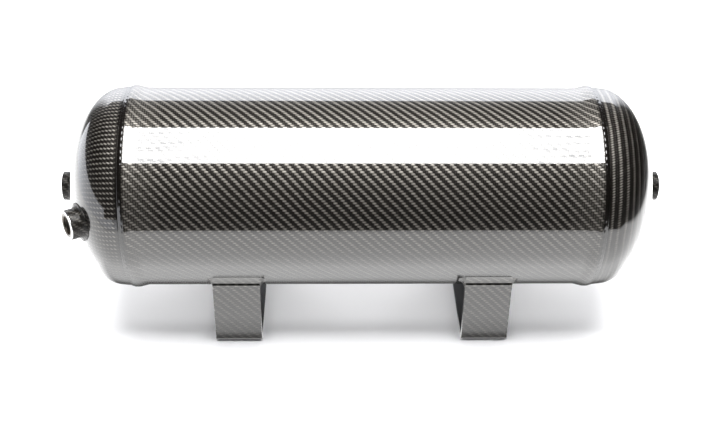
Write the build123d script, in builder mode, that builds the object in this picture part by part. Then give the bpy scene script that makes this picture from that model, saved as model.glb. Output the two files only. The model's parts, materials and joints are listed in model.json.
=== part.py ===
from build123d import *

import os
from math import cos, hypot, radians, sin, sqrt, tan

# A compressed-air tank: an aluminium tube closed by two pressed heads, wrapped in carbon
# cloth, lying on two bent strap feet. Sizes are in millimetres. X runs along the tank, +Z is
# up, the front is -Y, and the origin lies on the ground under the middle of the tank.

# Overall
shell_diameter = 203.2  # outside of the bare tube
weld_spacing = 465.0  # between the centres of the two girth welds
axis_height = 140.5  # from the ground to the tank's axis

# Tube and heads
shell_wall = 3.2
skirt_length = 14.0  # straight flange of a head, from its weld to the start of its dome
dome_depth = 53.7  # outside of a bare dome
root_gap = 1.6  # between the tube and a head, at the root of the weld
weld_land = 1.0  # square wall left under the weld's bevels
weld_bevel = 37.5  # degrees on each side of the groove
bead_half_width = 6.0
bead_height = 2.0
backing_width = 25.0
backing_thickness = 2.0
backing_setback = 1.5  # from the backing ring to the start of the dome

# Carbon wrap
wrap_thickness = 1.2
wrap_rise = 2.4  # how far the wrap swells over a girth weld
rise_margin = 1.0  # from the foot of the swell to the start of the dome
sleeve_overlap = 5.2  # how far the sleeve runs past the centre of a girth weld
sleeve_joint = 0.6  # open line between the sleeve and a cap

# Threaded ports
bung_diameter = 28.6
bore_diameter = 18.5
bung_fit = 0.15  # round the bung in the head's hole
bung_tail = 7.0  # how far a bung reaches in from the outside of the wrap
mouth_chamfer = 0.8
centre_port_stand = 9.1  # from the wrap to the bung's face
front_port_stand = 11.5
front_port_radius = 78.5  # from the tank's axis
front_port_clock = 5.0  # degrees above the level of the axis
bung_weld_leg = 3.0
collar_thickness = 0.9
collar_blend = 4.0  # radius between a collar and the wrap
collar_margin = 0.4  # flat rim outside that radius
collar_setback = 0.8  # bare rim left at the bung's face

# Strap feet
foot_spacing = 258.0  # between the middles of the two feet
strap_width = 48.0
strap_thickness = 4.8
foot_depth = 168.0  # front face to rear face
bend_inside = 3.2
mount_hole_diameter = 9.0
mount_hole_spacing = 110.0
foot_weld_leg = 6.0  # down the strap
foot_weld_width = 4.4  # inwards along the shell
skin_thickness = 1.2
skin_turn = 50.0  # degrees of the bend that the skin covers
lip_drop = 9.8  # from where the foot meets the wrap down to the skin's top edge
lip_stand = 1.0  # how far the fairing's lower edge stands out from the skin
lip_height = 1.6
fairing_neck = 3.4  # above the lip, where the fairing is thinnest
fairing_thickness = 0.8
fairing_reach = 3.0  # how far the fairing runs on over the wrap
corner_blend = 7.0  # radius between the foot's side edges and the wrap

# Worked out from the sizes above
shell_radius = shell_diameter / 2
bore_wall = shell_radius - shell_wall
weld_x = weld_spacing / 2
tangent_x = weld_x + skirt_length
bevel_run = (shell_wall - weld_land) * tan(radians(weld_bevel))
wrap_radius = shell_radius + wrap_thickness
wrap_depth = dome_depth + wrap_thickness
dome_curve = wrap_radius**2 / wrap_depth  # radius of the curve at the middle of a dome
rise_half_width = skirt_length - rise_margin
sleeve_end = weld_x + sleeve_overlap
bung_radius = bung_diameter / 2
collar_radius = bung_radius + collar_thickness
collar_foot = collar_radius + collar_blend + collar_margin
bend_outside = bend_inside + strap_thickness
plate_face = foot_depth / 2
skin_face = plate_face + skin_thickness
plate_inside = plate_face - strap_thickness
lip_level = axis_height - sqrt(wrap_radius**2 - skin_face**2) - lip_drop
tank_axis = Axis((0, 0, axis_height), (1, 0, 0))
reach = 2 * wrap_radius  # longer than any cut needs to be


def drop_at(radius, offset):
    """How far below the tank's axis a circle about it lies, at a sideways offset."""
    return sqrt(radius**2 - offset**2)


def end_plane(side):
    """The upright plane through the axis, with local X pointing out through one end."""
    return Plane(origin=(0, 0, axis_height), x_dir=(side, 0, 0), z_dir=(0, -side, 0))


def port_plane(side, radius, clock):
    """A plane on the outside of the wrap and square to it, at a place on one dome."""
    along = wrap_depth * sqrt(1 - (radius / wrap_radius) ** 2)
    outward = Vector(0, -cos(radians(clock)), sin(radians(clock)))
    place = Vector(side * (tangent_x + along), 0, axis_height) + outward * radius
    normal = Vector(side * along / wrap_depth**2, 0, 0) + outward * (radius / wrap_radius**2)
    return Plane(origin=place, z_dir=normal)


ports = {
    "left_centre": {"side": -1, "plane": port_plane(-1, 0, 0), "stand": centre_port_stand},
    "left_front": {
        "side": -1,
        "plane": port_plane(-1, front_port_radius, front_port_clock),
        "stand": front_port_stand,
    },
    "right_centre": {"side": 1, "plane": port_plane(1, 0, 0), "stand": centre_port_stand},
}
sides = {"left": -1, "right": 1}
faces = {"front": -1, "rear": 1}


def save(piece, name):
    """Label a finished piece and write it."""
    piece.label = name
    export_step(piece, f"parts/{name}.step")


def ports_on(side):
    return [port for port in ports.values() if port["side"] == side]


def solid_end(side, radius, depth):
    """A filled end of the tank, from its middle out to a dome, for trimming other pieces."""
    with BuildPart() as filled:
        with BuildSketch(end_plane(side)):
            with BuildLine():
                Polyline((tangent_x, radius), (0, radius), (0, 0), (tangent_x + depth, 0))
                EllipticalCenterArc((tangent_x, 0), depth, radius, start_angle=0, arc_size=90)
            make_face()
        revolve(axis=tank_axis)
    return filled.part


def drill(plane, radius):
    """A long round cutter square to a plane."""
    with BuildPart() as cutter:
        with BuildSketch(plane):
            Circle(radius)
        extrude(amount=reach / 4, both=True)
    return cutter.part


# ---------------------------------------------------------------- tube, heads and welds


def shell_tube():
    end_x = weld_x - root_gap / 2
    with BuildPart() as tube:
        with BuildSketch(end_plane(1)):
            with BuildLine():
                Polyline(
                    (-end_x, bore_wall),
                    (end_x, bore_wall),
                    (end_x, bore_wall + weld_land),
                    (end_x - bevel_run, shell_radius),
                    (-end_x + bevel_run, shell_radius),
                    (-end_x, bore_wall + weld_land),
                    close=True,
                )
            make_face()
        revolve(axis=tank_axis)
    return tube.part


def head(side):
    start_x = weld_x + root_gap / 2
    inner_depth = dome_depth - shell_wall
    with BuildPart() as shell:
        with BuildSketch(end_plane(side)):
            with BuildLine():
                Polyline(
                    (tangent_x, bore_wall),
                    (start_x, bore_wall),
                    (start_x, bore_wall + weld_land),
                    (start_x + bevel_run, shell_radius),
                    (tangent_x, shell_radius),
                )
                EllipticalCenterArc(
                    (tangent_x, 0), dome_depth, shell_radius, start_angle=0, arc_size=90
                )
                Line((tangent_x + dome_depth, 0), (tangent_x + inner_depth, 0))
                EllipticalCenterArc(
                    (tangent_x, 0), inner_depth, bore_wall, start_angle=0, arc_size=90
                )
            make_face()
        revolve(axis=tank_axis)
        for port in ports_on(side):
            add(drill(port["plane"], bung_radius + bung_fit), mode=Mode.SUBTRACT)
    return shell.part


def girth_weld(side):
    """The weld fills the bevelled groove and stands up as a low crown."""
    half_gap = root_gap / 2
    with BuildPart() as weld:
        with BuildSketch(end_plane(side)):
            with BuildLine():
                Polyline(
                    (weld_x - bead_half_width, shell_radius),
                    (weld_x - half_gap - bevel_run, shell_radius),
                    (weld_x - half_gap, bore_wall + weld_land),
                    (weld_x - half_gap, bore_wall),
                    (weld_x + half_gap, bore_wall),
                    (weld_x + half_gap, bore_wall + weld_land),
                    (weld_x + half_gap + bevel_run, shell_radius),
                    (weld_x + bead_half_width, shell_radius),
                )
                ThreePointArc(
                    (weld_x + bead_half_width, shell_radius),
                    (weld_x, shell_radius + bead_height),
                    (weld_x - bead_half_width, shell_radius),
                )
            make_face()
        revolve(axis=tank_axis)
    return weld.part


def backing_ring(side):
    """A flat ring inside the shell that backs the girth weld, clear of the dome."""
    with BuildPart() as ring:
        with BuildSketch(end_plane(side)):
            with Locations((tangent_x - backing_setback, bore_wall)):
                Rectangle(backing_width, backing_thickness, align=(Align.MAX, Align.MAX))
        revolve(axis=tank_axis)
    return ring.part


# ---------------------------------------------------------------- ports


def bung(port):
    """A round boss through the head, bored for a pipe thread."""
    with BuildPart() as boss:
        with BuildSketch(port["plane"].offset(-bung_tail)):
            Circle(bung_radius)
            Circle(bore_diameter / 2, mode=Mode.SUBTRACT)
        extrude(amount=bung_tail + port["stand"])
        mouth = boss.edges().filter_by(GeomType.CIRCLE)
        mouth = mouth.filter_by(lambda edge: edge.radius < bung_radius)
        mouth = mouth.sort_by(Axis(port["plane"].origin, port["plane"].z_dir))[-1]
        chamfer(mouth, mouth_chamfer)
    return boss.part


def bung_weld(port):
    """A fillet weld round the bung, whose toe follows the fall of the bare head."""
    foot = bung_radius + bung_weld_leg
    toe_level = -wrap_thickness - foot**2 / (2 * dome_curve)
    plane = port["plane"]
    with BuildPart() as weld:
        with BuildSketch(Plane(plane.origin, x_dir=plane.x_dir, z_dir=-plane.y_dir)):
            with BuildLine():
                Polyline(
                    (bung_radius, bung_weld_leg - wrap_thickness),
                    (foot, toe_level),
                    (foot, -bung_tail),
                    (bung_radius, -bung_tail),
                    close=True,
                )
            make_face()
        revolve(axis=Axis(plane.origin, plane.z_dir))
        add(solid_end(port["side"], shell_radius, dome_depth), mode=Mode.SUBTRACT)
    return weld.part


def port_collar(port, weld):
    """Carbon cloth laid round the bung and blended out onto the dome."""
    plane = port["plane"]

    def joins_dome(edge):
        middle = plane.to_local_coords(edge @ 0.5)
        off_wall = abs(hypot(middle.X, middle.Y) - collar_radius)
        return off_wall < collar_margin and edge.length > 2 * collar_radius

    with BuildPart() as collar:
        add(solid_end(port["side"], wrap_radius, wrap_depth))
        with BuildSketch(plane.offset(-bung_tail)):
            Circle(collar_radius)
        extrude(amount=bung_tail + port["stand"] - collar_setback)
        joint = collar.edges().filter_by(joins_dome)
        fillet(joint.sort_by(Axis(plane.origin, plane.z_dir))[:-1], collar_blend)
        add(drill(plane, collar_foot), mode=Mode.INTERSECT)
        add(solid_end(port["side"], shell_radius, dome_depth), mode=Mode.SUBTRACT)
        add(drill(plane, bung_radius), mode=Mode.SUBTRACT)
        add(weld, mode=Mode.SUBTRACT)
    return collar.part


# ---------------------------------------------------------------- carbon wrap


def wrap_section(side, first_x, last_x):
    """Half the wrap's section, between two places along the tank."""
    foot_out = (weld_x + rise_half_width, wrap_radius)
    foot_in = (weld_x - rise_half_width, wrap_radius)
    crown = (weld_x, wrap_radius + wrap_rise)
    mid_out = (weld_x + rise_half_width / 2, wrap_radius + wrap_rise / 2)
    mid_in = (weld_x - rise_half_width / 2, wrap_radius + wrap_rise / 2)
    with BuildSketch(end_plane(side)) as section:
        with BuildLine():
            Line((0, wrap_radius), foot_in)
            TangentArc(foot_in, mid_in, tangent=(1, 0))
            TangentArc(crown, mid_in, tangent=(-1, 0))
            TangentArc(crown, mid_out, tangent=(1, 0))
            TangentArc(foot_out, mid_out, tangent=(-1, 0))
            Line(foot_out, (tangent_x, wrap_radius))
            EllipticalCenterArc(
                (tangent_x, 0), wrap_depth, wrap_radius, start_angle=0, arc_size=90
            )
            Line((tangent_x + wrap_depth, 0), (tangent_x + dome_depth, 0))
            EllipticalCenterArc(
                (tangent_x, 0), dome_depth, shell_radius, start_angle=0, arc_size=90
            )
            Line((tangent_x, shell_radius), (weld_x + bead_half_width, shell_radius))
            ThreePointArc(
                (weld_x + bead_half_width, shell_radius),
                (weld_x, shell_radius + bead_height),
                (weld_x - bead_half_width, shell_radius),
            )
            Polyline(
                (weld_x - bead_half_width, shell_radius), (0, shell_radius), (0, wrap_radius)
            )
        make_face()
        with Locations((first_x, 0)):
            Rectangle(
                last_x - first_x,
                2 * reach,
                align=(Align.MIN, Align.CENTER),
                mode=Mode.INTERSECT,
            )
    return section.sketch


def carbon_sleeve(feet):
    """The cloth round the tube, slotted where the feet pass through to the shell."""
    with BuildPart() as sleeve:
        add(wrap_section(1, 0, sleeve_end))
        revolve(axis=tank_axis)
        mirror(about=Plane.YZ)
        for foot in feet:
            add(foot, mode=Mode.SUBTRACT)
    return sleeve.part


def carbon_cap(side):
    """The cloth over one dome, open round each collar."""
    with BuildPart() as cap:
        add(wrap_section(side, sleeve_end + sleeve_joint, tangent_x + reach))
        revolve(axis=tank_axis)
        for port in ports_on(side):
            add(drill(port["plane"], collar_foot), mode=Mode.SUBTRACT)
    return cap.part


# ---------------------------------------------------------------- feet


def foot_plane(side, facing):
    """An upright plane across the tank through a foot, with local X out towards one face."""
    middle = side * foot_spacing / 2
    return Plane(origin=(middle, 0, 0), x_dir=(0, facing, 0), z_dir=(facing, 0, 0))


def filled_tube(radius):
    """A filled length of the tank's middle, for trimming the feet."""
    with BuildPart() as filled:
        with BuildSketch(Plane.YZ):
            with Locations((0, axis_height)):
                Circle(radius)
        extrude(amount=weld_x, both=True)
    return filled.part


def foot_strap(side):
    """A flat bar bent into a U, whose ends are cut to the shell and welded to it."""
    with BuildPart() as strap:
        with BuildSketch(foot_plane(side, 1)):
            with BuildLine():
                FilletPolyline(
                    (-plate_face, axis_height),
                    (-plate_face, 0),
                    (plate_face, 0),
                    (plate_face, axis_height),
                    radius=bend_outside,
                )
                offset(amount=strap_thickness, side=Side.LEFT)
            make_face()
        extrude(amount=strap_width / 2, both=True)
        with BuildSketch(Plane.XY):
            with Locations((side * foot_spacing / 2, 0)):
                with GridLocations(0, mount_hole_spacing, 1, 2):
                    Circle(mount_hole_diameter / 2)
        extrude(amount=bend_outside, mode=Mode.SUBTRACT)
        add(filled_tube(shell_radius), mode=Mode.SUBTRACT)
    return strap.part


def foot_welds(side):
    """Two beads in the sharp corners between a strap's inner faces and the shell."""
    corner = axis_height - drop_at(shell_radius, plate_inside)
    toe = plate_inside - foot_weld_width
    with BuildPart() as welds:
        for facing in (-1, 1):
            with BuildSketch(foot_plane(side, facing)):
                Polygon(
                    (plate_inside, corner - foot_weld_leg),
                    (plate_inside, axis_height),
                    (toe, axis_height),
                    (toe, axis_height - drop_at(shell_radius, toe)),
                    align=None,
                )
            extrude(amount=strap_width / 2, both=True)
        add(filled_tube(shell_radius), mode=Mode.SUBTRACT)
    return welds.part


def foot_skin(side, facing):
    """Carbon cloth on a foot's outer face, run on round part of the bend."""
    bend_centre = (plate_face - bend_outside, bend_outside)
    with BuildPart() as skin:
        with BuildSketch(foot_plane(side, facing)):
            with BuildLine():
                Line((plate_face, lip_level), (plate_face, bend_outside))
                under = CenterArc(bend_centre, bend_outside, 0, -skin_turn)
                over = CenterArc(bend_centre, bend_outside + skin_thickness, -skin_turn, skin_turn)
                Line(under @ 1, over @ 0)
                Polyline(over @ 1, (skin_face, lip_level), (plate_face, lip_level))
            make_face()
        extrude(amount=strap_width / 2, both=True)
    return skin.part


def corner_blends(side, facing):
    """The rounded corners between the edges of one upright and the wrap."""
    edge_x = strap_width / 2
    thickness = skin_face - plate_inside
    with BuildPart() as blends:
        for edge in (-1, 1):
            edge_plane = Plane(
                origin=(side * foot_spacing / 2, 0, axis_height),
                x_dir=(edge, 0, 0),
                z_dir=(0, -edge, 0),
            )
            with BuildSketch(edge_plane):
                with BuildLine():
                    Polyline(
                        (edge_x, wrap_radius + corner_blend),
                        (edge_x, wrap_radius),
                        (edge_x + corner_blend, wrap_radius),
                    )
                    TangentArc(
                        (edge_x + corner_blend, wrap_radius),
                        (edge_x, wrap_radius + corner_blend),
                        tangent=(-1, 0),
                    )
                make_face()
            revolve(axis=tank_axis)
        with Locations((side * foot_spacing / 2, facing * plate_inside, axis_height)):
            Box(
                reach,
                thickness,
                reach,
                align=(Align.CENTER, Align.MIN if facing > 0 else Align.MAX, Align.MAX),
                mode=Mode.INTERSECT,
            )
    return blends.part


def foot_fairing(side, facing):
    """Cloth and resin worked from a skin's top edge up onto the wrap and round the edges."""
    lip_face = skin_face + lip_stand
    far = skin_face + fairing_reach
    with BuildPart() as fairing:
        with BuildSketch(foot_plane(side, facing)):
            with BuildLine():
                Polyline(
                    (plate_face, axis_height),
                    (plate_face, lip_level),
                    (lip_face, lip_level),
                    (lip_face, lip_level + lip_height),
                    (plate_face + fairing_thickness, lip_level + fairing_neck),
                )
                TangentArc(
                    (plate_face + fairing_thickness, lip_level + fairing_neck),
                    (far, axis_height - drop_at(wrap_radius, far)),
                    tangent=(0, 1),
                )
                Polyline(
                    (far, axis_height - drop_at(wrap_radius, far)),
                    (far, axis_height),
                    (plate_face, axis_height),
                )
            make_face()
        extrude(amount=strap_width / 2, both=True)
        add(filled_tube(wrap_radius), mode=Mode.SUBTRACT)
        add(corner_blends(side, facing))
    return fairing.part


# ---------------------------------------------------------------- the whole tank


os.makedirs("parts", exist_ok=True)

save(shell_tube(), "shell_tube")
for end, side in sides.items():
    save(head(side), f"{end}_head")
    save(girth_weld(side), f"{end}_girth_weld")
    save(backing_ring(side), f"{end}_backing_ring")
    save(carbon_cap(side), f"{end}_carbon_cap")

for place, port in ports.items():
    weld = bung_weld(port)
    save(bung(port), f"{place}_bung")
    save(weld, f"{place}_bung_weld")
    save(port_collar(port, weld), f"{place}_collar")

feet = []
for end, side in sides.items():
    strap = foot_strap(side)
    welds = foot_welds(side)
    feet += [strap, welds]
    save(strap, f"{end}_foot_strap")
    save(welds, f"{end}_foot_welds")
    for face, facing in faces.items():
        save(foot_skin(side, facing), f"{end}_foot_{face}_skin")
        save(foot_fairing(side, facing), f"{end}_foot_{face}_fairing")

save(carbon_sleeve(feet), "carbon_sleeve")
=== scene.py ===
import json
import math

import bmesh
import bpy
from mathutils import Matrix, Vector


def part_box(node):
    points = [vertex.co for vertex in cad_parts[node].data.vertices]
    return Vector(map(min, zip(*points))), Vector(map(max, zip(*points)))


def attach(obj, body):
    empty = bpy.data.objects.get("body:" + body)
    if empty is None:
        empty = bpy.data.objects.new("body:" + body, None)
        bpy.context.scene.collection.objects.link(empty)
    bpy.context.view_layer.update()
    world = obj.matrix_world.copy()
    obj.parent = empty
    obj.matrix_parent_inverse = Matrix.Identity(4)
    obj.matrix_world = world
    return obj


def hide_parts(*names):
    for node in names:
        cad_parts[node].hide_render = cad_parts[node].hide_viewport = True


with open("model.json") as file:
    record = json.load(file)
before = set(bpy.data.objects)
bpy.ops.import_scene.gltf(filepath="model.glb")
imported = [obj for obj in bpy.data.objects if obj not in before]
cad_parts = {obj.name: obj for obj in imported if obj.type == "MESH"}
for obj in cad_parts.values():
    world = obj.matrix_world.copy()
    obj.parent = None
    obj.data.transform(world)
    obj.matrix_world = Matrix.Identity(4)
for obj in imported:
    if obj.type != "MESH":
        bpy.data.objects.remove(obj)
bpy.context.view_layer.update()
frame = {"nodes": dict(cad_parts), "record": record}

MM = 0.001

# ---------------------------------------------------------------- sizes not in the frame

wrap_thickness = 1.2 * MM
wrap_depth = 54.9 * MM
joint_gap = 0.6 * MM
sleeve_overlap = 5.2 * MM
swell_half_width = 13 * MM

# ---------------------------------------------------------------- places read from the frame

sleeve_low, sleeve_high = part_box("carbon_sleeve")
shell_low, shell_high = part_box("shell_tube")
bung_low, bung_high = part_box("left_centre_bung")

mounts = {mount["name"]: mount for mount in frame["record"]["mounts"]}

axis_height = mounts["left_centre_port"]["pos_m"][2]
shell_radius = (shell_high.z - shell_low.z) / 2
wrap_radius = shell_radius + wrap_thickness
sleeve_end = sleeve_high.x
swell_radius = (sleeve_high.z - sleeve_low.z) / 2
weld_x = sleeve_end - sleeve_overlap
cap_start = sleeve_end + joint_gap
dome_apex = -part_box("left_carbon_cap")[0].x
dome_start = dome_apex - wrap_depth
bung_radius = (bung_high.y - bung_low.y) / 2
bore_radius = mounts["left_centre_port"]["dims"]["r_mm"] * MM

PORTS = ("left_centre", "left_front", "right_centre")


def port_line(mount):
    """A port's centre and its axis."""
    return Vector(mount["pos_m"]), Vector(mount["axis"]).normalized()


def square_to(axis):
    """A level direction and a rising one, both square to an axis."""
    level = axis.cross((0, 0, 1)).normalized()
    return level, level.cross(axis)


# ---------------------------------------------------------------- finishes


class Value:
    """A number or vector on its way through a finish, with its sums written as Python."""

    def __init__(self, finish, socket):
        self.finish = finish
        self.socket = socket

    def math(self, operation, *values):
        inputs = dict(enumerate(values))
        return self.finish.value("ShaderNodeMath", {"operation": operation}, inputs)

    def __add__(self, other):
        return self.math("ADD", self, other)

    __radd__ = __add__

    def __sub__(self, other):
        return self.math("SUBTRACT", self, other)

    def __rsub__(self, other):
        return self.math("SUBTRACT", other, self)

    def __mul__(self, other):
        return self.math("MULTIPLY", self, other)

    __rmul__ = __mul__

    def __truediv__(self, other):
        return self.math("DIVIDE", self, other)

    def __mod__(self, other):
        return self.math("FLOORED_MODULO", self, other)

    def __lt__(self, other):
        return self.math("LESS_THAN", self, other)

    def __abs__(self):
        return self.math("ABSOLUTE", self)

    def __pow__(self, other):
        return self.math("POWER", self, other)

    def floor(self):
        return self.math("FLOOR", self)

    def fract(self):
        return self.math("FRACT", self)

    def sine(self):
        return self.math("SINE", self)

    def arctan2(self, other):
        return self.math("ARCTAN2", self, other)

    def root(self):
        return self.math("SQRT", self)

    def larger(self, other):
        return self.math("MAXIMUM", self, other)

    def smaller(self, other):
        return self.math("MINIMUM", self, other)

    def past(self, start, length):
        """0 up to the start, and 1 from a length beyond it."""
        return ((self - start) / length).larger(0).smaller(1)

    def short_of(self, end, length):
        """0 from the end on, and 1 up to a length before it."""
        return ((end - self) / length).larger(0).smaller(1)


MIXED_COLOUR = 2  # which output of a mix node is its colour


class Finish:
    """A material whose nodes are added one at a time."""

    def __init__(self, name):
        self.material = bpy.data.materials.new(name)
        self.material.use_nodes = True
        self.tree = self.material.node_tree
        self.tree.nodes.clear()

    def node(self, kind, settings, inputs):
        made = self.tree.nodes.new(kind)
        for setting, choice in settings.items():
            setattr(made, setting, choice)
        for key, given in inputs.items():
            if isinstance(given, Value):
                self.tree.links.new(given.socket, made.inputs[key])
            else:
                made.inputs[key].default_value = given
        return made

    def value(self, kind, settings, inputs, output=0):
        return Value(self, self.node(kind, settings, inputs).outputs[output])

    def spot(self):
        """Where the shaded point is on the object, in metres."""
        return self.value("ShaderNodeTexCoord", {}, {}, "Object")

    def parts(self, spot):
        """The X, Y and Z of a place."""
        split = self.node("ShaderNodeSeparateXYZ", {}, {0: spot})
        return [Value(self, split.outputs[axis]) for axis in "XYZ"]

    def noise(self, where, scale, detail=2.0, roughness=0.5):
        return self.value(
            "ShaderNodeTexNoise",
            {"noise_dimensions": "3D"},
            {"Vector": where, "Scale": scale, "Detail": detail, "Roughness": roughness},
            "Fac",
        )

    def blend(self, share, first, second):
        inputs = {"Factor": share, "A": first, "B": second}
        return self.value("ShaderNodeMix", {"data_type": "RGBA"}, inputs, MIXED_COLOUR)

    def bump(self, height, depth):
        inputs = {"Strength": 1.0, "Distance": depth, "Height": height}
        return self.value("ShaderNodeBump", {}, inputs, "Normal")

    def surface(self, inputs):
        shader = self.value("ShaderNodeBsdfPrincipled", {}, inputs, "BSDF")
        self.node("ShaderNodeOutputMaterial", {}, {"Surface": shader})
        return self.material


TOW = 2.34 * MM
SPAN = 2  # tows that each tow goes over, and then under
# colour of the tows' painted sheen, the light they reflect along their length, painted into the
# base colour
TOW_PAINTED_SHEEN = (0.19, 0.178, 0.160, 1.0)
DARK_TOW = (0.0055, 0.0047, 0.004, 1.0)
# painted light: a lighter copy of the dark tow colour, lifting the fairings out of the tank's shade
FAIRING_TOW_PAINTED_LIGHT = (0.022, 0.021, 0.019, 1.0)

CROWN_HEIGHT = 0.14 * MM
LUMP_HEIGHT = 0.45 * MM
WANDER = 0.55  # tows

# how fine the noises in the cloth are, in lumps to a metre
DRIFT_SCALE = 26.0
SWAY_SCALE = 41.0
PATCH_SCALE = 9.0
FIBRE_SCALE = 1900.0
LUMP_SCALE = 420.0
CRUMPLE_SCALE = 260.0

HOOP_GLEAM = 0.07  # of the hoop tows, beside the lengthwise ones
CRUMPLED_GLEAM = 0.5
ROW_SEED = 11.3
ROW_STRIDE = 1.37

SLEEVE_TOWS = 276  # round the tube
LEFT_CAP_TOWS = 264
RIGHT_CAP_TOWS = 250
LEFT_CAP_PITCH = 3.6 * MM
RIGHT_CAP_PITCH = 3.7 * MM
PORT_TOWS = 44


def twill(across, along):
    """Twill, from places counted in tows: if the top tow runs lengthwise, its crown and its row."""
    row = along.floor()
    step = (across.floor() + row) % (2 * SPAN)
    lengthwise = step < SPAN
    length_arc = ((step + across.fract()) * (math.pi / SPAN)).sine()
    hoop_arc = ((step - SPAN + along.fract()) * (math.pi / SPAN)).sine()
    length_crown = (along.fract() * math.pi).sine() * length_arc
    hoop_crown = (across.fract() * math.pi).sine() * hoop_arc
    crown = hoop_crown + lengthwise * (length_crown - hoop_crown)
    return lengthwise, crown.larger(0), row


def cloth(
    name, mapping, painted_shade=None, crossing=None, resin=None, broken=False, dotted=False, dark=DARK_TOW
):
    """Carbon twill whose gleam is painted sheen in the base colour: lengthwise tows painted light,
    hoop tows dark. The mapping gives places in tows, the next argument is the painted shade, the
    share of the painted sheen that shows, crossing is the painted glint of the hoop tows, and resin
    is the weight of the clear coat. Dotted cloth has its painted sheen at the middle of its tows,
    and broken cloth is crumpled and has no clear coat."""
    finish = Finish(name)
    spot = finish.spot()
    x, y, z = finish.parts(spot)
    across, along = mapping(x, y, z)
    drift = finish.noise(spot, DRIFT_SCALE, 2.0) - 0.5
    sway = finish.noise(spot, SWAY_SCALE, 1.0) - 0.5
    lengthwise, crown, row = twill(across + drift * WANDER, along + sway * WANDER)
    row_gleam = finish.value(
        "ShaderNodeTexWhiteNoise",
        {"noise_dimensions": "1D"},
        {"W": row * ROW_STRIDE + ROW_SEED},
        "Value",
    )
    patch = finish.noise(spot, PATCH_SCALE, 2.0)
    fibre = finish.noise(spot, FIBRE_SCALE, 1.0)
    hoop_gleam = HOOP_GLEAM if crossing is None else crossing(x, y, z)
    shine = 0.03 + 1.2 * crown**1.3 if dotted else 0.12 + 0.9 * crown
    # painted sheen: lengthwise tows are painted light, hoop tows get only their painted glint
    painted_gleam = lengthwise * shine + (1 - lengthwise) * crown * hoop_gleam
    painted_gleam = painted_gleam * (0.8 + 0.4 * row_gleam) * (0.75 + 0.5 * patch) * (0.8 + 0.4 * fibre)
    if broken:
        painted_gleam = painted_gleam * (finish.noise(spot, CRUMPLE_SCALE, 1.0) * CRUMPLED_GLEAM)
    if painted_shade is not None:
        painted_gleam = painted_gleam * painted_shade(x, y, z)
    inputs = {
        "Base Color": finish.blend(painted_gleam.smaller(1), dark, TOW_PAINTED_SHEEN),
        "Coat Roughness": 0.012,
        "Coat IOR": 1.5,
    }
    if broken:
        lumps = finish.noise(spot, LUMP_SCALE, 2.0)
        inputs["Metallic"] = 0.0
        inputs["Specular IOR Level"] = 0.12
        inputs["Roughness"] = 0.26 + 0.08 * crown
        inputs["Normal"] = finish.bump(crown * 0.3 + lumps, LUMP_HEIGHT)
        inputs["Coat Weight"] = 0.0
    else:
        inputs["Metallic"] = 0.3
        inputs["Specular IOR Level"] = 0.04
        inputs["Roughness"] = 0.34 - 0.06 * crown
        inputs["Normal"] = finish.bump(crown, CROWN_HEIGHT)
        inputs["Coat Weight"] = 1.0 if resin is None else resin(x, y, z)
    return finish.surface(inputs)


def sleeve_mapping(x, y, z):
    """Tows along and round the tube, a whole number of repeats to the circle."""
    turn = (z - axis_height).arctan2(y * -1)
    return x / TOW, turn * (SLEEVE_TOWS / (2 * math.pi))


def cap_mapping(tows, slant_pitch, radial):
    """Tows on the bias over a dome. The lines of the twill run out from the port where it is
    radial, and otherwise round the dome."""

    def mapping(x, y, z):
        up = z - axis_height
        turn = up.arctan2(y * -1) * (tows / (2 * math.pi))
        inward = wrap_radius - (up * up + y * y).root()
        outward = abs(x) - cap_start
        slant = (inward * inward + outward * outward).root() / slant_pitch
        return (turn + slant, turn - slant) if radial else (slant + turn, slant - turn)

    return mapping


def port_mapping(mount):
    """Tows along and round a port's own axis."""
    centre, axis = port_line(mount)
    level, rise = square_to(axis)

    def mapping(x, y, z):
        def reach(direction):
            over = (x - centre.x) * direction.x
            return over + (y - centre.y) * direction.y + (z - centre.z) * direction.z

        turn = reach(rise).arctan2(reach(level))
        return reach(axis) / TOW, turn * (PORT_TOWS / (2 * math.pi))

    return mapping


def flat_mapping(x, y, z):
    """Tows across and up a flat face."""
    return x / TOW, (z + abs(y)) / TOW


CAP_SEAM_SHADE = 0.8 * MM  # from the cap's start to where its painted sheen begins, past a painted dark band in the corner
SLEEVE_MARGIN = 4.2 * MM  # from the sleeve's end to where its painted sheen begins, past a painted dark band
WEAVE_FADE = 2.4 * MM
CAP_FALL = 44 * MM
CAP_LEAST = 0.12  # share of the painted sheen left at the port

# heights in metres above the table, each with the height over which the look changes
UNDERSIDE_HEIGHT = 0.125
UNDERSIDE_FADE = 0.065
TOP_HEIGHT = 0.241
TOP_FADE = 0.004
LOW_GLOSS_HEIGHT = 0.175
LOW_GLOSS_FADE = 0.02
TOP_GLOSS_HEIGHT = 0.234
TOP_GLOSS_FADE = 0.003
FOOT_BEND = 5 * MM
FOOT_BEND_FADE = 9 * MM

# shares of the painted sheen, for painted shade and painted light
UNDERSIDE_LEAST = 0.2
TOP_LOSS = 0.35
FOOT_LEAST = 0.12
FOOT_GAIN = 2.0  # to a metre of height
CROSSING_LEAST = 0.06
CROSSING_GAIN = 0.3

DULL_CORNER = 4.0 * MM  # from the cap's start to where its resin turns glossy
DULL_FADE = 1.2 * MM
CROSSING_START = 36 * MM  # from the girth weld in along the tank
CROSSING_FADE = 30 * MM


def underside_shade(z):
    """Painted shade: less of the tows' painted sheen along the top, and lower down where the weave
    faces the table.
    """
    low = UNDERSIDE_LEAST + (1 - UNDERSIDE_LEAST) * z.past(UNDERSIDE_HEIGHT, UNDERSIDE_FADE)
    return low * (1 - TOP_LOSS * z.past(TOP_HEIGHT, TOP_FADE))


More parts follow.
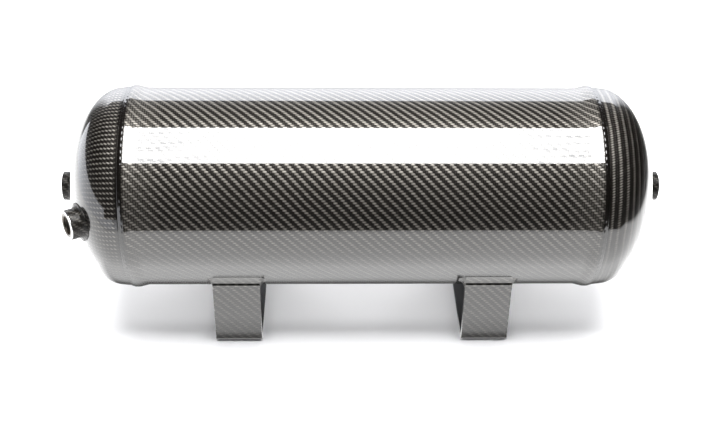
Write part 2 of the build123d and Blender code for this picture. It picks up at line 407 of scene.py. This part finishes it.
def cap_shade(x, y, z):
    """Painted shade: a dark band in the corner beside the sleeve, and the tows' painted sheen
    fading towards the port.
    """
    from_joint = abs(x) - cap_start
    painted_seam_shade = from_joint.past(CAP_SEAM_SHADE, WEAVE_FADE)
    fall = (1.0 - from_joint / CAP_FALL).larger(CAP_LEAST).smaller(1)
    return painted_seam_shade * fall * underside_shade(z)


def sleeve_shade(x, y, z):
    """Painted shade: a dark band beside the joint where the painted sheen is taken away, and
    painted shade towards the underside.
    """
    painted_seam_shade = (sleeve_end - abs(x)).past(SLEEVE_MARGIN, WEAVE_FADE)
    return painted_seam_shade * underside_shade(z)


def foot_shade(x, y, z):
    """Painted light: the tows' painted sheen grows with height, lighter towards the top of the
    feet.
    """
    return FOOT_LEAST + FOOT_GAIN * z


def ring_hoop_glint(x, y, z):
    """Painted glint: near a girth weld the hoop tows get painted sheen as well."""
    near = abs(x).past(weld_x - CROSSING_START, CROSSING_FADE)
    return CROSSING_LEAST + CROSSING_GAIN * near


def cap_resin(x, y, z):
    """The resin is dull in the corner beside the joint, but glossy along the top and low down."""
    clear = (abs(x) - cap_start).past(DULL_CORNER, DULL_FADE)
    low = z.short_of(LOW_GLOSS_HEIGHT, LOW_GLOSS_FADE)
    top = z.past(TOP_GLOSS_HEIGHT, TOP_GLOSS_FADE)
    return clear.larger(low).larger(top)


def foot_resin(x, y, z):
    """The resin thins out round the bend at the bottom."""
    return z.past(FOOT_BEND, FOOT_BEND_FADE)


GRAIN_HEIGHT = 0.02 * MM
METAL_SMUDGE_SCALE = 60.0
DARKER = 0.8
LIGHTER = 1.15


def metal(name, colour, roughness, grain, metallic=1.0, coat=0.0):
    """Metal or paint with a fine grain and smudges."""
    finish = Finish(name)
    spot = finish.spot()
    smudge = finish.noise(spot, METAL_SMUDGE_SCALE, 3.0)
    lines = finish.noise(spot, grain, 2.0)
    dark = (*(part * DARKER for part in colour), 1.0)
    light = (*(min(1, part * LIGHTER) for part in colour), 1.0)
    shade = finish.blend(smudge * 0.6 + lines * 0.4, dark, light)
    return finish.surface(
        {
            "Base Color": shade,
            "Metallic": metallic,
            "Roughness": roughness * 0.8 + smudge * roughness * 0.4,
            "Normal": finish.bump(lines, GRAIN_HEIGHT),
            "Coat Weight": coat,
            "Coat Roughness": 0.1,
        }
    )


sleeve_cloth = cloth("sleeve_cloth", sleeve_mapping, painted_shade=sleeve_shade, crossing=ring_hoop_glint)
left_cap_mapping = cap_mapping(LEFT_CAP_TOWS, LEFT_CAP_PITCH, radial=True)
right_cap_mapping = cap_mapping(RIGHT_CAP_TOWS, RIGHT_CAP_PITCH, radial=False)
cap_cloths = {
    "left": cloth("left_cap_cloth", left_cap_mapping, cap_shade, resin=cap_resin, dotted=True),
    "right": cloth("right_cap_cloth", right_cap_mapping, cap_shade, resin=cap_resin, dotted=True),
}
port_cloths = {
    port: cloth(f"{port}_cloth", port_mapping(mounts[f"{port}_port"]), broken=True)
    for port in PORTS
}
foot_cloth = cloth("foot_cloth", flat_mapping, foot_shade, resin=foot_resin)
# the fairings' cloth has painted light in its lighter dark tow colour
fairing_cloth = cloth("fairing_cloth", flat_mapping, foot_shade, dark=FAIRING_TOW_PAINTED_LIGHT)
shell_metal = metal("shell_metal", (0.62, 0.63, 0.65), roughness=0.35, grain=900.0)
weld_metal = metal("weld_metal", (0.55, 0.56, 0.58), roughness=0.4, grain=700.0)
strap_black = metal(
    "strap_black", (0.02, 0.02, 0.021), roughness=0.45, grain=500.0, metallic=0.0, coat=0.3
)


RIM_START = 12.4 * MM
RIM_FADE = 0.6 * MM
RIM_GRAIN_SCALE = 1400.0
BUNG_SMUDGE_SCALE = 120.0
ANODISED_DARK = (0.035, 0.028, 0.022, 1)
ANODISED_LIGHT = (0.075, 0.062, 0.05, 1)
RIM_DARK = (0.55, 0.55, 0.56, 1)
RIM_LIGHT = (0.8, 0.8, 0.81, 1)


def bung_finish(mount):
    """Dark anodised threads and face inside a bright machined rim."""
    finish = Finish("bung_" + mount["name"])
    spot = finish.spot()
    centre, axis = port_line(mount)
    offset = finish.value(
        "ShaderNodeVectorMath", {"operation": "SUBTRACT"}, {0: spot, 1: tuple(centre)}
    )
    along = finish.value(
        "ShaderNodeVectorMath", {"operation": "DOT_PRODUCT"}, {0: offset, 1: tuple(axis)}, "Value"
    )
    length = finish.value("ShaderNodeVectorMath", {"operation": "LENGTH"}, {0: offset}, "Value")
    radius = (length * length - along * along).larger(0).root()
    rim = radius.past(RIM_START, RIM_FADE)
    grain = finish.noise(spot, RIM_GRAIN_SCALE, 2.0)
    smudge = finish.noise(spot, BUNG_SMUDGE_SCALE, 3.0)
    dark = finish.blend(smudge, ANODISED_DARK, ANODISED_LIGHT)
    bright = finish.blend(grain, RIM_DARK, RIM_LIGHT)
    return finish.surface(
        {
            "Base Color": finish.blend(rim, dark, bright),
            "Metallic": 0.5 + rim * 0.5,
            "Roughness": 0.3 - rim * 0.1 + smudge * 0.1,
            "Normal": finish.bump(grain, GRAIN_HEIGHT),
        }
    )


# ---------------------------------------------------------------- building tools


def finish_piece(name, mesh, material, nodes):
    """Put a made mesh in place of the CAD nodes that it stands for."""
    for polygon in mesh.polygons:
        polygon.use_smooth = True
    mesh.materials.append(material)
    piece = bpy.data.objects.new(name, mesh)
    bpy.context.scene.collection.objects.link(piece)
    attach(piece, "root")
    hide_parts(*nodes)


def turned(name, place, section, steps):
    """A closed ring of the given section: place(step share, point) gives each corner."""
    made = bmesh.new()
    rings = []
    for step in range(steps):
        share = step / steps
        rings.append([made.verts.new(place(share, point)) for point in section])
    count = len(section)
    for step in range(steps):
        here, there = rings[step], rings[(step + 1) % steps]
        for point in range(count):
            after = (point + 1) % count
            made.faces.new((here[point], here[after], there[after], there[point]))
    bmesh.ops.recalc_face_normals(made, faces=made.faces)
    mesh = bpy.data.meshes.new(name)
    made.to_mesh(mesh)
    made.free()
    return mesh


def smooth_step(value):
    value = min(1, max(0, value))
    return value * value * (3 - 2 * value)


# ---------------------------------------------------------------- carbon sleeve

EDGE_ROUND = 0.5 * MM
EDGE_FALL = 0.9 * MM
BEAD_HEIGHT = 0.24 * MM
BEAD_HALF_WIDTH = 1.1 * MM
BEAD_X = weld_x + 2.2 * MM
BEADS = 98
END_FACE = 2.15 * MM  # height of the sleeve's end face above the shell
UNDER_REACH = 8 * MM  # from the girth weld in to where the inside is closed off
UNDER_GAP = 0.05 * MM

FLAT_STEPS = 12
SWELL_STEPS = 20
OVERLAP_STEPS = 24
ROUND_STEPS = 6
SLEEVE_STEPS = 980


def swell(x):
    """How far the cloth rises over a girth weld, and falls again to its edge."""
    from_weld = abs(x) - weld_x
    height = swell_radius - wrap_radius
    if from_weld > 0:
        return height - EDGE_FALL * (from_weld / sleeve_overlap) ** 1.5
    return height * smooth_step(1 + from_weld / swell_half_width)


def bead(x):
    """The share of a resin bead's height at one place along the tank."""
    return 0.5 + 0.5 * math.cos(math.pi * min(1, abs(x - BEAD_X) / BEAD_HALF_WIDTH))


def sleeve_section():
    """From the middle round the right edge to the inside, and on round the left edge."""
    flat = sleeve_end - EDGE_ROUND
    swell_start = weld_x - swell_half_width
    places = [swell_start * step / FLAT_STEPS for step in range(FLAT_STEPS)]
    for step in range(SWELL_STEPS):
        places.append(swell_start + swell_half_width * step / SWELL_STEPS)
    for step in range(OVERLAP_STEPS):
        places.append(weld_x + (flat - weld_x) * step / OVERLAP_STEPS)
    half = [(x, wrap_radius + swell(x), bead(x)) for x in places]
    for step in range(ROUND_STEPS + 1):
        turn = step / ROUND_STEPS * math.pi / 2
        x = flat + EDGE_ROUND * math.sin(turn)
        half.append((x, wrap_radius + swell(x) - EDGE_ROUND * (1 - math.cos(turn)), 0.0))
    half.append((sleeve_end, shell_radius + END_FACE, 0.0))
    half.append((weld_x - UNDER_REACH, shell_radius + UNDER_GAP, 0.0))
    left = [(-x, radius, height) for x, radius, height in reversed(half)]
    return half[1:] + left


def sleeve_corner(share, point):
    """A corner of the sleeve, raised by the row of beads."""
    x, radius, height = point
    turn = 2 * math.pi * share
    wave = 0.5 + 0.5 * math.sin(turn * BEADS)
    radius = radius + height * BEAD_HEIGHT * wave
    return (x, radius * math.cos(turn), axis_height + radius * math.sin(turn))


sleeve_mesh = turned("carbon_sleeve_cloth", sleeve_corner, sleeve_section(), SLEEVE_STEPS)
finish_piece("carbon_sleeve_cloth", sleeve_mesh, sleeve_cloth, ["carbon_sleeve"])


# ---------------------------------------------------------------- carbon caps

CAP_TUCK = 0.4 * MM
CAP_RISE = 0.95 * MM
HOLE_RADIUS = bung_radius + 3.3 * MM  # hidden under the collar's blend
TAUT_END = 3.2 * MM  # from the dome's start to where the cloth lies on it
INSIDE_GAP = 0.03 * MM
DRILL_LENGTH = 60 * MM

TAUT_STEPS = 10
DOME_STEPS = 110
INSIDE_STEPS = 39
CAP_STEPS = 360
DRILL_STEPS = 96


def cap_section():
    """From the corner beside the sleeve out over the dome to the port, and back underneath."""
    crown = wrap_radius + CAP_RISE
    taut_radius = wrap_radius * math.sqrt(1 - (TAUT_END / wrap_depth) ** 2)
    taut_x = dome_start + TAUT_END
    first_x = sleeve_end - CAP_TUCK
    outside = []
    for step in range(TAUT_STEPS + 1):
        share = step / TAUT_STEPS
        x = first_x + (taut_x - first_x) * share
        outside.append((x, crown + (taut_radius - crown) * share))
    first_turn = math.asin(taut_radius / wrap_radius)
    last_turn = math.asin(HOLE_RADIUS / wrap_radius)
    for step in range(1, DOME_STEPS + 1):
        turn = first_turn + (last_turn - first_turn) * step / DOME_STEPS
        outside.append((dome_start + wrap_depth * math.cos(turn), wrap_radius * math.sin(turn)))
    inside = []
    inner_depth = wrap_depth - wrap_thickness + INSIDE_GAP
    inner_radius = shell_radius + INSIDE_GAP
    last_turn = math.asin(HOLE_RADIUS / inner_radius)
    for step in range(INSIDE_STEPS + 1):
        turn = last_turn + (math.pi / 2 - last_turn) * step / INSIDE_STEPS
        inside.append((dome_start + inner_depth * math.cos(turn), inner_radius * math.sin(turn)))
    inside.append((first_x, inner_radius))
    return outside + inside


def cut_hole(name, mesh, centre, axis, radius):
    """Cut a round hole through a mesh."""
    made = bmesh.new()
    bmesh.ops.create_cone(
        made,
        cap_ends=True,
        segments=DRILL_STEPS,
        radius1=radius,
        radius2=radius,
        depth=DRILL_LENGTH,
    )
    drill_mesh = bpy.data.meshes.new("drill")
    made.to_mesh(drill_mesh)
    made.free()
    drill = bpy.data.objects.new("drill", drill_mesh)
    blank = bpy.data.objects.new("blank", mesh)
    for item in (drill, blank):
        bpy.context.scene.collection.objects.link(item)
    slant = axis.to_track_quat("Z", "Y").to_matrix().to_4x4()
    drill.matrix_world = Matrix.Translation(centre) @ slant
    cut = blank.modifiers.new("hole", "BOOLEAN")
    cut.operation = "DIFFERENCE"
    cut.solver = "EXACT"
    cut.object = drill
    bpy.context.view_layer.update()
    graph = bpy.context.evaluated_depsgraph_get()
    result = bpy.data.meshes.new_from_object(blank.evaluated_get(graph))
    result.name = name
    for item in (drill, blank):
        bpy.data.objects.remove(item)
    return result


def make_cap(end, side):
    """The cloth over one dome, on the side of the tank that the sign of side gives."""

    def cap_corner(share, point):
        x, radius = point
        turn = 2 * math.pi * share
        return (side * x, radius * math.cos(turn), axis_height + radius * math.sin(turn))

    name = f"{end}_carbon_cap_cloth"
    mesh = turned(name, cap_corner, cap_section(), CAP_STEPS)
    if end == "left":
        front_port = mounts["left_front_port"]
        centre, axis = Vector(front_port["pos_m"]), Vector(front_port["axis"])
        mesh = cut_hole(name, mesh, centre, axis, HOLE_RADIUS)
    finish_piece(name, mesh, cap_cloths[end], [f"{end}_carbon_cap"])


make_cap("left", -1)
make_cap("right", 1)


# ---------------------------------------------------------------- threaded bungs

THREAD_PITCH = 1.814 * MM
THREAD_DEPTH = 0.95 * MM
MOUTH_CHAMFER = 0.8 * MM
RIM_ROUND = 0.7 * MM

RIM_STEPS = 5
PITCH_STEPS = 10
FADE_IN_STEPS = 10  # from no thread to its full depth
FADE_OUT_STEPS = 6
BUNG_STEPS = 96


def bung_section(length):
    """Round a bung's wall: the rim, the outside, the inner end and the threaded bore."""
    wall = []
    for step in range(RIM_STEPS, -1, -1):
        turn = step / RIM_STEPS * math.pi / 2
        along = length - RIM_ROUND * (1 - math.sin(turn))
        wall.append((along, bung_radius - RIM_ROUND * (1 - math.cos(turn)), 0))
    wall.append((0.0, bung_radius, 0))
    wall.append((0.0, bore_radius, 0))
    turns = (length - MOUTH_CHAMFER) / THREAD_PITCH
    steps = int(turns * PITCH_STEPS)
    for step in range(1, steps):
        along = (length - MOUTH_CHAMFER) * step / steps
        fade = min(1, step / FADE_IN_STEPS, (steps - step) / FADE_OUT_STEPS)
        wall.append((along, bore_radius, fade))
    wall.append((length - MOUTH_CHAMFER, bore_radius, 0))
    wall.append((length, bore_radius + MOUTH_CHAMFER, 0))
    return wall


def make_bung(port):
    """A port's bung, with real threads."""
    mount = mounts[f"{port}_port"]
    centre, axis = port_line(mount)
    level, rise = square_to(axis)
    bore_length = mount["dims"]["length_mm"] * MM
    start = centre - axis * bore_length / 2

    def bung_corner(share, point):
        along, radius, thread = point
        turn = 2 * math.pi * share
        tooth = abs(2 * ((along / THREAD_PITCH - share) % 1) - 1)
        radius = radius + thread * THREAD_DEPTH * tooth
        out = level * radius * math.cos(turn)
        return start + axis * along + out + rise * radius * math.sin(turn)

    name = f"{port}_bung_threaded"
    mesh = turned(name, bung_corner, bung_section(bore_length + MOUTH_CHAMFER), BUNG_STEPS)
    finish_piece(name, mesh, bung_finish(mount), [f"{port}_bung"])


for port in PORTS:
    make_bung(port)


# ---------------------------------------------------------------- other pieces keep their CAD shape

FAIRING_ROUND = 0.7 * MM
FAIRING_CORNER = 40  # degrees, the least turn that is rounded


def node_finish(node):
    """The finish of a piece that keeps its CAD shape."""
    for port, port_cloth in port_cloths.items():
        if node in (f"{port}_collar", f"{port}_bung_weld"):
            return port_cloth
    if "fairing" in node:
        return fairing_cloth
    if "skin" in node:
        return foot_cloth
    if "weld" in node:
        return weld_metal
    if "strap" in node:
        return strap_black
    return shell_metal


for node, piece in frame["nodes"].items():
    if not piece.hide_render:
        piece.data.materials.clear()
        piece.data.materials.append(node_finish(node))
    if "fairing" in node:
        soft_edge = piece.modifiers.new("soft_edge", "BEVEL")
        soft_edge.width = FAIRING_ROUND
        soft_edge.segments = 3
        soft_edge.limit_method = "ANGLE"
        soft_edge.angle_limit = math.radians(FAIRING_CORNER)


# ---------------------------------------------------------------- floor, light and camera

WHITE = (1.0, 1.0, 1.0, 1.0)
BLACK = (0.0, 0.0, 0.0, 1.0)
FLOOR_WHITE = (0.9, 0.9, 0.915, 1.0)
SIDE_WHITE = (0.93, 0.95, 1.0, 1.0)
PATCH_GREY = (0.4, 0.42, 0.44, 1.0)
SKY_WHITE = (0.97, 0.98, 1.0, 1.0)

FLOOR_HALF = 6
FLOOR_HEIGHT = -0.3 * MM
CARD_HEIGHT = 0.001
DARK_HEIGHT = 0.0015
APRON_HEIGHT = 0.003

ROOM = 3.0
TABLE_FRONT = -0.53
TABLE_BACK = 1.0
TABLE_SIDE = 1.0

APRON_FRONT = -1.4
APRON_FRONT_X = -0.66
APRON_BACK_X = -0.36
SIDE_CARD_BACK = 0.75
SIDE_CARD_HALF_HEIGHT = 0.14

BACK_CARD_SIDE = 0.98
BACK_CARD_TOP = 0.89
SOFT_CARD_RADIUS = 1.1
SOFT_CARD_LEFT = -0.40
SOFT_CARD_RIGHT = 0.465
SOFT_CARD_FRONT = 56.4  # degrees up from level
SOFT_CARD_BACK = 98.5

SHADE_HALF_WIDTH = 0.032  # of the darkest part of the tank's shade on the table
SHADE_FADE = 0.093
SHADE_HALF_LENGTH = 0.27
SHADE_END_FADE = 0.07
SHADE_LEAST = 0.04
RIGHT_EDGE = 0.80
RIGHT_FADE = 0.14
FRONT_EDGE = -0.75
FRONT_FADE = 0.32
BACK_LOSS = 0.75

SOFT_CENTRE = 0.03
SOFT_EVEN_HALF = 0.22
SOFT_FADE = 0.12
SOFT_PATCH_SCALE = 16.0

BACKDROP_FADE = 0.25
BACKDROP_LEAST = 0.14  # share of the light left at the table

TABLE_POWER = 4.3
SIDE_POWER = 3.6
SOFT_POWER = 24.0
BACKDROP_POWER = 5.9


def matt(name, colour):
    return Finish(name).surface({"Base Color": colour, "Roughness": 0.9, "Specular IOR Level": 0.0})


def glowing(finish, colour, strength):
    """A surface that gives light and reflects none."""
    return finish.surface(
        {
            "Base Color": BLACK,
            "Roughness": 1.0,
            "Specular IOR Level": 0.0,
            "Emission Color": colour,
            "Emission Strength": strength,
        }
    )


def table_glow():
    """The lit table as the tank reflects it, dimmer in the tank's shade and towards its edges."""
    finish = Finish("table_glow")
    x, y, z = finish.parts(finish.spot())
    in_front_or_behind = (abs(y) - SHADE_HALF_WIDTH) / SHADE_FADE
    beyond_the_ends = (abs(x) - SHADE_HALF_LENGTH) / SHADE_END_FADE
    beside = in_front_or_behind.larger(beyond_the_ends).larger(SHADE_LEAST).smaller(1)
    right = x.short_of(RIGHT_EDGE, RIGHT_FADE)
    front = y.past(FRONT_EDGE, FRONT_FADE)
    back = 1 - BACK_LOSS * y.larger(0).smaller(1)
    light = beside * right * front * back
    return glowing(finish, finish.blend(light, BLACK, WHITE), TABLE_POWER)


def soft_glow():
    """The lamp's diffuser, a little patchy towards its ends."""
    finish = Finish("soft_glow")
    spot = finish.spot()
    x, y, z = finish.parts(spot)
    ends = abs(x - SOFT_CENTRE).past(SOFT_EVEN_HALF, SOFT_FADE)
    patches = ((finish.noise(spot, SOFT_PATCH_SCALE, 4.0, 0.65) - 0.5) * 5).larger(0).smaller(1)
    return glowing(finish, finish.blend(ends * patches, WHITE, PATCH_GREY), SOFT_POWER)


def backdrop_glow():
    """The backdrop, lit from above."""
    finish = Finish("backdrop_glow")
    x, y, z = finish.parts(finish.spot())
    sides = abs(x).short_of(BACK_CARD_SIDE, BACKDROP_FADE)
    light = (BACKDROP_LEAST + (1 - BACKDROP_LEAST) * (z / BACK_CARD_TOP)) * sides
    return glowing(finish, finish.blend(light, BLACK, SIDE_WHITE), BACKDROP_POWER)


def card_from(name, panes, material):
    """A card made of flat four-cornered panes."""
    made = bmesh.new()
    for pane in panes:
        made.faces.new([made.verts.new(corner) for corner in pane])
    bmesh.ops.remove_doubles(made, verts=made.verts, dist=1e-6)
    mesh = bpy.data.meshes.new(name)
    made.to_mesh(mesh)
    made.free()
    mesh.materials.append(material)
    card = bpy.data.objects.new(name, mesh)
    bpy.context.scene.collection.objects.link(card)
    return card


def sheet(name, low_x, high_x, corners_yz, material):
    """A long card bent along X through the given places."""
    panes = []
    for (y, z), (next_y, next_z) in zip(corners_yz, corners_yz[1:]):
        panes.append(
            [(low_x, y, z), (high_x, y, z), (high_x, next_y, next_z), (low_x, next_y, next_z)]
        )
    return card_from(name, panes, material)


def gloss_only(card):
    """Let a card be seen in reflections and nowhere else."""
    card.visible_camera = False
    card.visible_diffuse = False
    card.visible_transmission = False
    card.visible_volume_scatter = False
    card.visible_shadow = False


def panel(name, low_x, high_x, corners_yz, material):
    """A sheet that is only seen in reflections."""
    gloss_only(sheet(name, low_x, high_x, corners_yz, material))


def side_panel(name, x, half_height, low_y, high_y, material):
    """An upright panel across the end of the room."""
    card = sheet(name, -half_height, half_height, [(low_y, 0), (high_y, 0)], material)
    upright = Matrix.Rotation(math.pi / 2, 4, "Y")
    card.matrix_world = Matrix.Translation((x, 0, half_height)) @ upright
    gloss_only(card)


def around(radius, first, last, steps=24):
    """Places on an arc about the tank's axis; 0 degrees is level to the front."""
    places = []
    for step in range(steps + 1):
        turn = math.radians(first + (last - first) * step / steps)
        places.append((-radius * math.cos(turn), axis_height + radius * math.sin(turn)))
    return places


floor_places = [(-FLOOR_HALF, FLOOR_HEIGHT), (FLOOR_HALF, FLOOR_HEIGHT)]
sheet("floor", -FLOOR_HALF, FLOOR_HALF, floor_places, matt("floor_white", FLOOR_WHITE))

dark = glowing(Finish("dark_card"), BLACK, 0.0)
front_places = [(-ROOM, DARK_HEIGHT), (TABLE_FRONT, DARK_HEIGHT)]
beside_places = [(TABLE_FRONT, DARK_HEIGHT), (ROOM, DARK_HEIGHT)]
panel("front_floor", -ROOM, ROOM, front_places, dark)
panel("left_floor", -ROOM, -TABLE_SIDE, beside_places, dark)
panel("right_floor", TABLE_SIDE, ROOM, beside_places, dark)
panel("front_wall", -ROOM, ROOM, [(-ROOM, 0), (-ROOM, ROOM)], dark)
panel("ceiling", -ROOM, ROOM, [(-ROOM, ROOM), (ROOM, ROOM)], dark)
panel("rear_wall", -ROOM, ROOM, [(ROOM, ROOM), (ROOM, 0)], dark)
side_panel("side_wall", -ROOM, ROOM / 2, -ROOM, ROOM, dark)
side_panel("side_wall", ROOM, ROOM / 2, -ROOM, ROOM, dark)

table_places = [(TABLE_FRONT, CARD_HEIGHT), (TABLE_BACK, CARD_HEIGHT)]
panel("table_card", -TABLE_SIDE, TABLE_SIDE, table_places, table_glow())

side_white = glowing(Finish("side_white"), SIDE_WHITE, SIDE_POWER)
side_panel("left_card", -TABLE_SIDE, SIDE_CARD_HALF_HEIGHT, APRON_FRONT, SIDE_CARD_BACK, side_white)
apron_corners = [
    (-TABLE_SIDE, APRON_FRONT, APRON_HEIGHT),
    (APRON_FRONT_X, APRON_FRONT, APRON_HEIGHT),
    (APRON_BACK_X, TABLE_FRONT, APRON_HEIGHT),
    (-TABLE_SIDE, TABLE_FRONT, APRON_HEIGHT),
]
gloss_only(card_from("left_apron", [apron_corners], side_white))

soft_places = around(SOFT_CARD_RADIUS, SOFT_CARD_FRONT, SOFT_CARD_BACK)
panel("soft_card", SOFT_CARD_LEFT, SOFT_CARD_RIGHT, soft_places, soft_glow())
back_places = [(TABLE_BACK, 0.0), (TABLE_BACK, BACK_CARD_TOP)]
panel("back_card", -BACK_CARD_SIDE, BACK_CARD_SIDE, back_places, backdrop_glow())


def lamp(name, place, aim, width, height, power):
    """A rectangular lamp that is not seen in reflections."""
    light = bpy.data.lights.new(name, "AREA")
    light.shape = "RECTANGLE"
    light.size = width
    light.size_y = height
    light.energy = power
    made = bpy.data.objects.new(name, light)
    made.location = place
    made.rotation_mode = "QUATERNION"
    made.rotation_quaternion = (Vector(aim) - Vector(place)).to_track_quat("-Z", "Y")
    made.visible_glossy = False
    bpy.context.scene.collection.objects.link(made)


lamp("overhead", place=(0, -0.06, 1.15), aim=(0, -0.06, 0), width=1.4, height=0.7, power=42)
lamp("behind", place=(0, 1.1, 0.30), aim=(0, 0, 0.02), width=2.0, height=0.6, power=56)

SKY_ON_SURFACES = 0.30
SKY_ON_CAMERA = 1.10

world = bpy.data.worlds.new("studio")
world.use_nodes = True
sky = world.node_tree.nodes
seen = sky.new("ShaderNodeLightPath")
strength = sky.new("ShaderNodeMapRange")
strength.inputs["To Min"].default_value = SKY_ON_SURFACES
strength.inputs["To Max"].default_value = SKY_ON_CAMERA
world.node_tree.links.new(seen.outputs["Is Camera Ray"], strength.inputs["Value"])
world.node_tree.links.new(strength.outputs["Result"], sky["Background"].inputs["Strength"])
sky["Background"].inputs["Color"].default_value = SKY_WHITE
bpy.context.scene.world = world
bpy.context.scene.view_settings.view_transform = "Standard"

SENSOR_WIDTH = 36
FOCAL_LENGTH = 58.77
CAMERA_PLACE = (-0.03256, -1.0413, 0.8019)
# how far the camera looks below level, then turns and nods in its own frame, in radians
CAMERA_DIP = 0.5658
CAMERA_TURN = -0.0248
CAMERA_NOD = -0.0313

camera_data = bpy.data.cameras.new("camera")
camera_data.sensor_width = SENSOR_WIDTH
camera_data.lens = FOCAL_LENGTH
camera = bpy.data.objects.new("camera", camera_data)
camera.location = CAMERA_PLACE
look = (
    Matrix.Rotation(math.pi / 2 - CAMERA_DIP, 3, "X")
    @ Matrix.Rotation(CAMERA_TURN, 3, "Y")
    @ Matrix.Rotation(CAMERA_NOD, 3, "X")
)
camera.rotation_mode = "QUATERNION"
camera.rotation_quaternion = look.to_quaternion()
bpy.context.scene.collection.objects.link(camera)
bpy.context.scene.camera = camera
